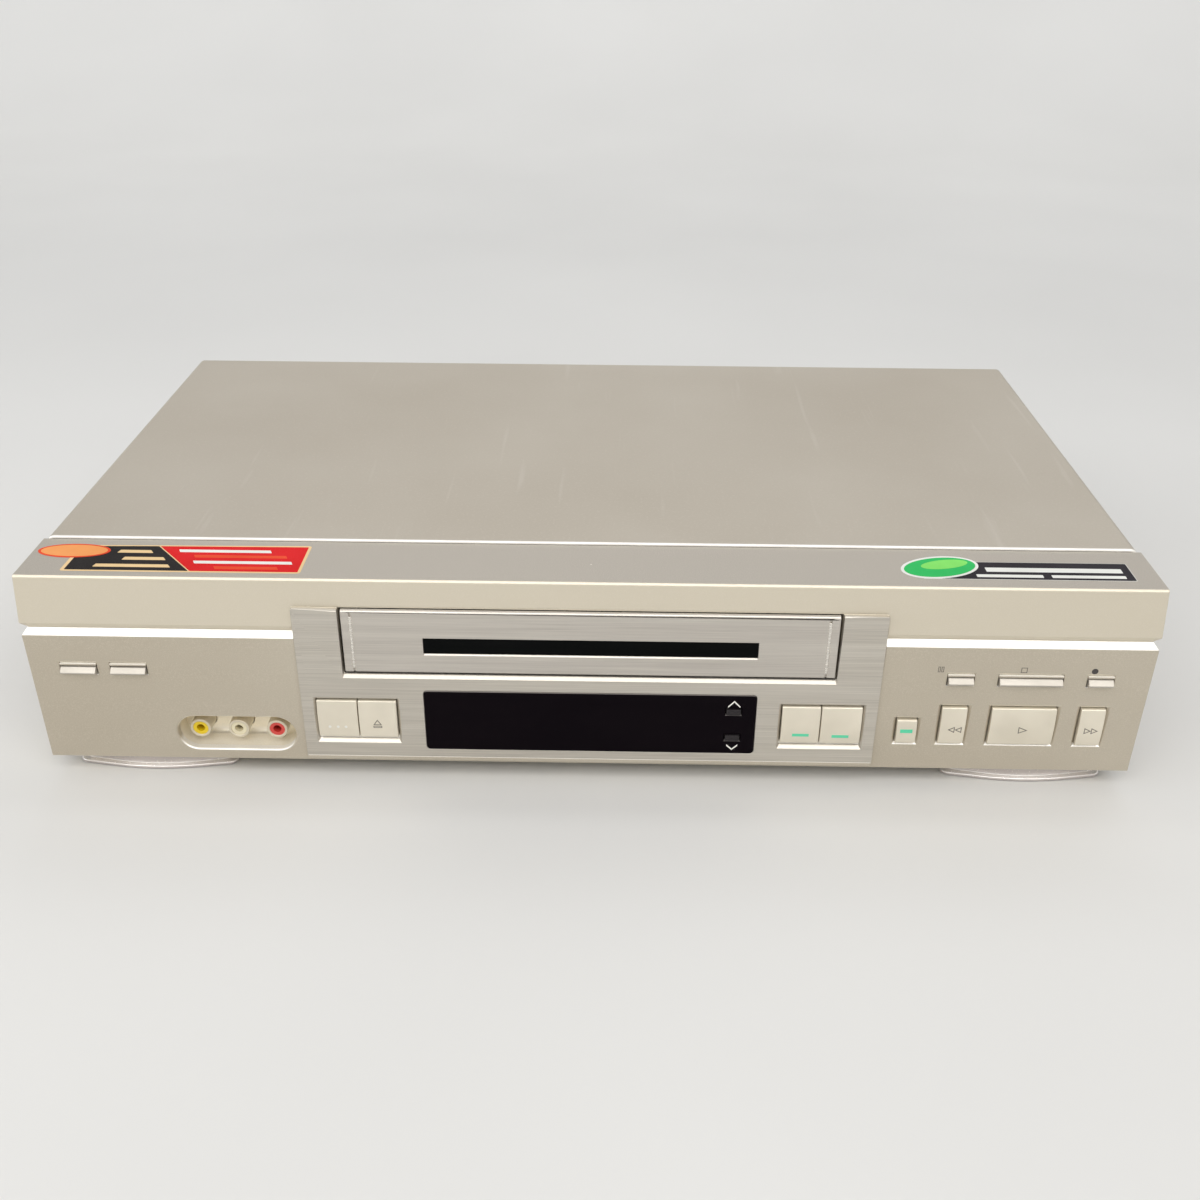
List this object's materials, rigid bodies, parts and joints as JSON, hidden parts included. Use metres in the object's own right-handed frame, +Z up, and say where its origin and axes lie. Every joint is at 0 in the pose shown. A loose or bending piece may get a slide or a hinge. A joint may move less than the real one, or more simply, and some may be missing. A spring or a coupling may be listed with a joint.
{
  "type": "video cassette recorder",
  "caption": "Full-size front-loading video cassette recorder with a sprung cassette flap, push keys, front and rear sockets, and a working tape deck inside.",
  "frame": {"origin": "on the table under the middle of the overall box", "axes": "+X to the right seen from the front, +Y to the back, +Z up"},
  "size_m": [0.43, 0.257, 0.091],
  "materials": {
    "cover": "satin champagne-grey paint",
    "panel": "satin champagne moulding",
    "band_bezel": "brushed silver foil over plastic",
    "door": "brushed silver foil over plastic",
    "dark_trim": "gloss black",
    "window": "tinted gloss",
    "key": "satin champagne",
    "window_key": "satin dark grey",
    "foot": "silver",
    "rear_foot": "matte",
    "tray": "zinc-plated",
    "rear_panel": "satin grey",
    "socket_cream": "satin cream",
    "socket_yellow": "satin",
    "socket_white": "satin",
    "socket_red": "satin",
    "socket_black": "satin",
    "tin": "tinned",
    "board_tan": "phenolic board",
    "board_green": "epoxy board",
    "deck_steel": "zinc-plated",
    "white_plastic": "acetal",
    "drum_metal": "turned",
    "shaft_steel": "ground",
    "black_rubber": "matte",
    "brass": "turned",
    "screw": "zinc-plated"
  },
  "bodies": {
    "root": {"top_cover": "cover", "cover_screws": "screw", "front_panel": "panel", "center_bezel": "band_bezel", "display_window": "window", "front_foot_left": "foot", "front_foot_right": "foot", "rear_feet": "rear_foot", "bottom_plate": "tray", "rear_panel": "rear_panel", "front_jack_holder": "socket_cream", "front_jack_video": "socket_yellow", "front_jack_left": "socket_white", "front_jack_right": "socket_red", "rear_jack_block": "socket_black", "rear_jack_rings": "socket_white", "tuner_box": "tin", "cord_gland": "socket_black", "power_board": "board_tan", "main_board": "board_green", "front_board": "board_green", "deck_chassis": "deck_steel", "deck_side_walls": "deck_steel", "lower_drum": "drum_metal", "drive_belt": "black_rubber", "loading_motor": "tin", "tape_heads": "tin"},
    "power_key": {"power_key": "key"},
    "eject_key": {"eject_key": "key"},
    "timer_start_key": {"timer_start_key": "key"},
    "timer_end_key": {"timer_end_key": "key"},
    "timer_back_key": {"timer_back_key": "key"},
    "rewind_key": {"rewind_key": "key"},
    "play_key": {"play_key": "key"},
    "fast_forward_key": {"fast_forward_key": "key"},
    "pause_key": {"pause_key": "key"},
    "stop_key": {"stop_key": "key"},
    "record_key": {"record_key": "key"},
    "quick_timer_key": {"quick_timer_key": "key"},
    "timer_switch_key": {"timer_switch_key": "key"},
    "channel_up_key": {"channel_up_key": "window_key"},
    "channel_down_key": {"channel_down_key": "window_key"},
    "door": {"cassette_door": "door", "door_strip": "dark_trim"},
    "slide": {"loading_slide": "white_plastic"},
    "holder": {"cassette_holder": "deck_steel"},
    "supply_reel": {"supply_reel": "white_plastic"},
    "takeup_reel": {"takeup_reel": "white_plastic"},
    "upper_drum": {"upper_drum": "drum_metal"},
    "capstan": {"capstan": "shaft_steel"},
    "center_pulley": {"center_pulley": "white_plastic"},
    "pinch_arm": {"pinch_arm": "deck_steel"},
    "pinch_roller": {"pinch_roller": "black_rubber"},
    "entry_guide": {"entry_guide": "white_plastic"},
    "exit_guide": {"exit_guide": "white_plastic"},
    "tension_arm": {"tension_arm": "deck_steel"},
    "idler_arm": {"idler_arm": "deck_steel"},
    "idler_wheel": {"idler_wheel": "black_rubber"},
    "loading_gear": {"loading_gear": "white_plastic"},
    "loading_worm": {"loading_worm": "brass"}
  },
  "joints": [
    {"name": "power_key_press", "type": "slide", "parent": "root", "child": "power_key", "axis": [0, 1, 0], "range_m": [0, 0.0008], "stiffness_N_per_m": 250},
    {"name": "eject_key_press", "type": "slide", "parent": "root", "child": "eject_key", "axis": [0, 1, 0], "range_m": [0, 0.0008], "stiffness_N_per_m": 250},
    {"name": "timer_start_key_press", "type": "slide", "parent": "root", "child": "timer_start_key", "axis": [0, 1, 0], "range_m": [0, 0.0008], "stiffness_N_per_m": 250},
    {"name": "timer_end_key_press", "type": "slide", "parent": "root", "child": "timer_end_key", "axis": [0, 1, 0], "range_m": [0, 0.0008], "stiffness_N_per_m": 250},
    {"name": "timer_back_key_press", "type": "slide", "parent": "root", "child": "timer_back_key", "axis": [0, 1, 0], "range_m": [0, 0.0008], "stiffness_N_per_m": 250},
    {"name": "rewind_key_press", "type": "slide", "parent": "root", "child": "rewind_key", "axis": [0, 1, 0], "range_m": [0, 0.0008], "stiffness_N_per_m": 250},
    {"name": "play_key_press", "type": "slide", "parent": "root", "child": "play_key", "axis": [0, 1, 0], "range_m": [0, 0.0008], "stiffness_N_per_m": 250},
    {"name": "fast_forward_key_press", "type": "slide", "parent": "root", "child": "fast_forward_key", "axis": [0, 1, 0], "range_m": [0, 0.0008], "stiffness_N_per_m": 250},
    {"name": "pause_key_press", "type": "slide", "parent": "root", "child": "pause_key", "axis": [0, 1, 0], "range_m": [0, 0.0008], "stiffness_N_per_m": 250},
    {"name": "stop_key_press", "type": "slide", "parent": "root", "child": "stop_key", "axis": [0, 1, 0], "range_m": [0, 0.0008], "stiffness_N_per_m": 250},
    {"name": "record_key_press", "type": "slide", "parent": "root", "child": "record_key", "axis": [0, 1, 0], "range_m": [0, 0.0008], "stiffness_N_per_m": 250},
    {"name": "quick_timer_key_press", "type": "slide", "parent": "root", "child": "quick_timer_key", "axis": [0, 1, 0], "range_m": [0, 0.0008], "stiffness_N_per_m": 250},
    {"name": "timer_switch_key_press", "type": "slide", "parent": "root", "child": "timer_switch_key", "axis": [0, 1, 0], "range_m": [0, 0.0008], "stiffness_N_per_m": 250},
    {"name": "channel_up_key_press", "type": "slide", "parent": "root", "child": "channel_up_key", "axis": [0, 1, 0], "range_m": [0, 0.0008], "stiffness_N_per_m": 250},
    {"name": "channel_down_key_press", "type": "slide", "parent": "root", "child": "channel_down_key", "axis": [0, 1, 0], "range_m": [0, 0.0008], "stiffness_N_per_m": 250},
    {"name": "door_hinge", "type": "hinge", "parent": "root", "child": "door", "pos_m": [0.00075, -0.1196, 0.082], "axis": [1, 0, 0], "range_deg": [0, 85], "stiffness_Nm_per_rad": 0.01, "springref_deg": -34.38},
    {"name": "slide_back", "type": "slide", "parent": "root", "child": "slide", "axis": [0, 1, 0], "range_m": [0, 0.06]},
    {"name": "holder_drop", "type": "slide", "parent": "slide", "child": "holder", "axis": [0, 0, -1], "range_m": [0, 0.017]},
    {"name": "supply_reel_spin", "type": "hinge", "parent": "root", "child": "supply_reel", "pos_m": [-0.04575, -0.0395, 0.03], "axis": [0, 0, 1], "continuous": true},
    {"name": "takeup_reel_spin", "type": "hinge", "parent": "root", "child": "takeup_reel", "pos_m": [0.04725, -0.0395, 0.03], "axis": [0, 0, 1], "continuous": true},
    {"name": "drum_spin", "type": "hinge", "parent": "root", "child": "upper_drum", "pos_m": [-0.00525, 0.0595, 0.0315], "axis": [0.1045, 0, 0.9945], "continuous": true},
    {"name": "capstan_spin", "type": "hinge", "parent": "root", "child": "capstan", "pos_m": [0.06475, 0.0205, 0.026], "axis": [0, 0, 1], "continuous": true},
    {"name": "center_spin", "type": "hinge", "parent": "root", "child": "center_pulley", "pos_m": [0.00075, -0.0155, 0.026], "axis": [0, 0, 1], "continuous": true},
    {"name": "pinch_swing", "type": "hinge", "parent": "root", "child": "pinch_arm", "pos_m": [0.08275, 0.0365, 0.034], "axis": [0, 0, 1], "range_deg": [0, 35]},
    {"name": "pinch_spin", "type": "hinge", "parent": "pinch_arm", "child": "pinch_roller", "pos_m": [0.06325, 0.04003, 0.044], "axis": [0, 0, 1], "continuous": true},
    {"name": "guide_slide", "type": "slide", "parent": "root", "child": "entry_guide", "axis": [-0.342, 0.9397, 0], "range_m": [0, 0.056]},
    {"name": "exit_guide_slide", "type": "slide", "parent": "root", "child": "exit_guide", "axis": [0.1788, 0.9839, 0], "range_m": [0, 0.056]},
    {"name": "tension_swing", "type": "hinge", "parent": "root", "child": "tension_arm", "pos_m": [-0.06125, 0.0265, 0.032], "axis": [0, 0, 1], "range_deg": [0, 40], "stiffness_Nm_per_rad": 0.004},
    {"name": "idler_swing", "type": "hinge", "parent": "root", "child": "idler_arm", "pos_m": [0.00075, -0.0155, 0.031], "axis": [0, 0, 1], "range_deg": [-30, 30]},
    {"name": "idler_spin", "type": "hinge", "parent": "idler_arm", "child": "idler_wheel", "pos_m": [0.00075, -0.0415, 0.0285], "axis": [0, 0, 1], "continuous": true},
    {"name": "worm_spin", "type": "hinge", "parent": "root", "child": "loading_worm", "pos_m": [-0.06725, 0.0785, 0.036], "axis": [0, 1, 0], "continuous": true},
    {"name": "loading_gear_turn", "type": "hinge", "parent": "root", "child": "loading_gear", "pos_m": [-0.08125, 0.0785, 0.036], "axis": [0, 0, 1], "continuous": true}
  ],
  "couplings": [
    {"joint": "exit_guide_slide", "follows": "guide_slide", "ratio": 1},
    {"joint": "center_spin", "follows": "capstan_spin", "ratio": 0.66527},
    {"joint": "idler_spin", "follows": "capstan_spin", "ratio": -0.65504},
    {"joint": "loading_gear_turn", "follows": "worm_spin", "ratio": 0.02381}
  ]
}
